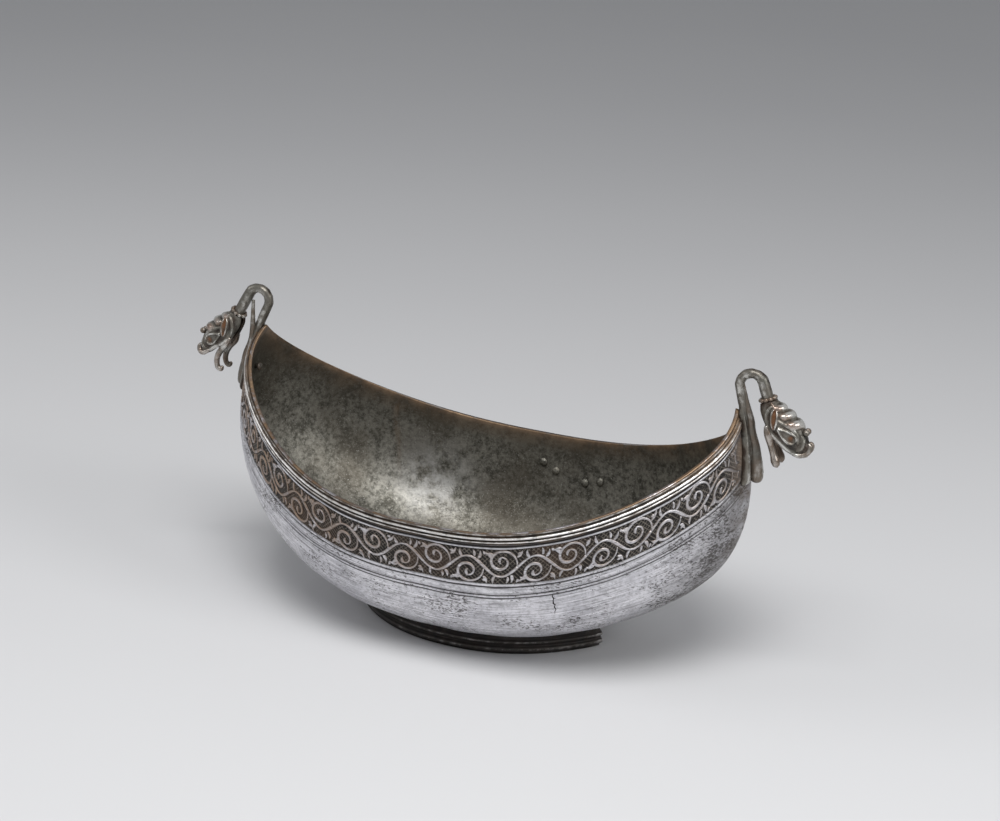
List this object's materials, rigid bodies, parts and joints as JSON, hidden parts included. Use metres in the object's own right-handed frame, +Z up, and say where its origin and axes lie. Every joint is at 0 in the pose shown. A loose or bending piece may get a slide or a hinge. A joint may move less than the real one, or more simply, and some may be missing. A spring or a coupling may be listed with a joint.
{
  "type": "kashkul begging bowl",
  "caption": "Boat-shaped begging bowl of tinned copper with upswept prows, an engraved band, a lens-shaped foot and hanging loops that end in dragon heads.",
  "frame": {"origin": "on the table under the middle of the bowl: the middle of the bounding box's bottom", "axes": "+X along the bowl towards the right prow, +Y away from the viewer, +Z up"},
  "size_m": [0.3081, 0.1468, 0.1454],
  "materials": {
    "tinned_copper": "worn tin over copper, satin, scratched",
    "worn_copper": "copper with its tin worn through, satin",
    "dark_bronze": "tarnished cast bronze with bright worn edges"
  },
  "bodies": {
    "root": {"bowl": "tinned_copper", "rim_strip_front": "worn_copper", "rim_strip_back": "worn_copper", "foot_front": "dark_bronze", "foot_back": "dark_bronze", "left_hook": "dark_bronze", "right_hook": "dark_bronze", "left_collar": "worn_copper", "right_collar": "worn_copper", "left_dragon_head": "dark_bronze", "right_dragon_head": "dark_bronze", "left_strap_rivet": "dark_bronze", "right_strap_rivet": "dark_bronze", "wall_rivets": "tinned_copper"}
  },
  "joints": []
}
